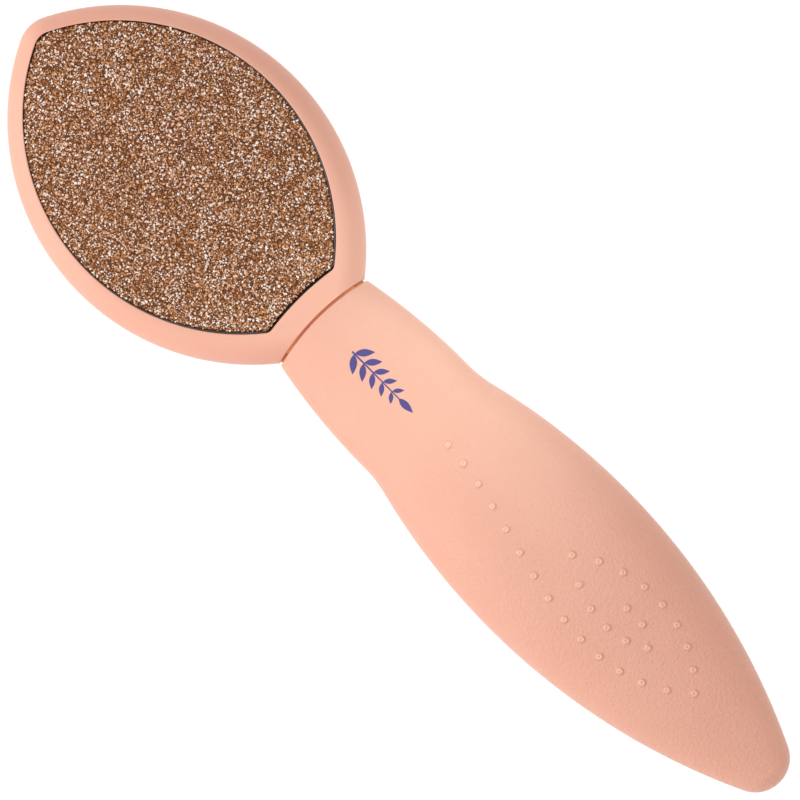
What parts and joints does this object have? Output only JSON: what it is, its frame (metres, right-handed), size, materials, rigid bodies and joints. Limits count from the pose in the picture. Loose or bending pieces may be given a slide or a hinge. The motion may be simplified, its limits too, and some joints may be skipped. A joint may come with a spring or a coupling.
{
  "type": "foot file",
  "caption": "Double-sided paddle foot file: a leaf-shaped head with a coarse and a fine abrasive pad, on a slender hollow handle with raised grip nubs.",
  "frame": {"origin": "under the middle of the tool's bounding box, at the level of its lowest point", "axes": "+X along the tool towards the tip of the head, +Y across it, +Z out of the coarse side"},
  "size_m": [0.19, 0.0544, 0.016],
  "materials": {
    "frame_plastic": "smooth soft-touch peach",
    "handle_plastic": "soft-touch peach with a fine leather grain",
    "backer_plastic": "matt black",
    "foam_tape": "off-white foam tape",
    "adhesive": "cured amber adhesive",
    "coarse_grit": "coarse brown and clear mineral grit",
    "fine_grit": "fine tan mineral grit",
    "print_ink": "matt violet pad-print ink"
  },
  "bodies": {
    "root": {"head_frame": "frame_plastic", "coarse_plate_tape": "foam_tape", "coarse_backer_plate": "backer_plastic", "coarse_adhesive_film": "adhesive", "coarse_abrasive_sheet": "coarse_grit", "fine_plate_tape": "foam_tape", "fine_backer_plate": "backer_plastic", "fine_adhesive_film": "adhesive", "fine_abrasive_sheet": "fine_grit", "handle_front_shell": "handle_plastic", "handle_back_shell": "handle_plastic"}
  },
  "joints": []
}
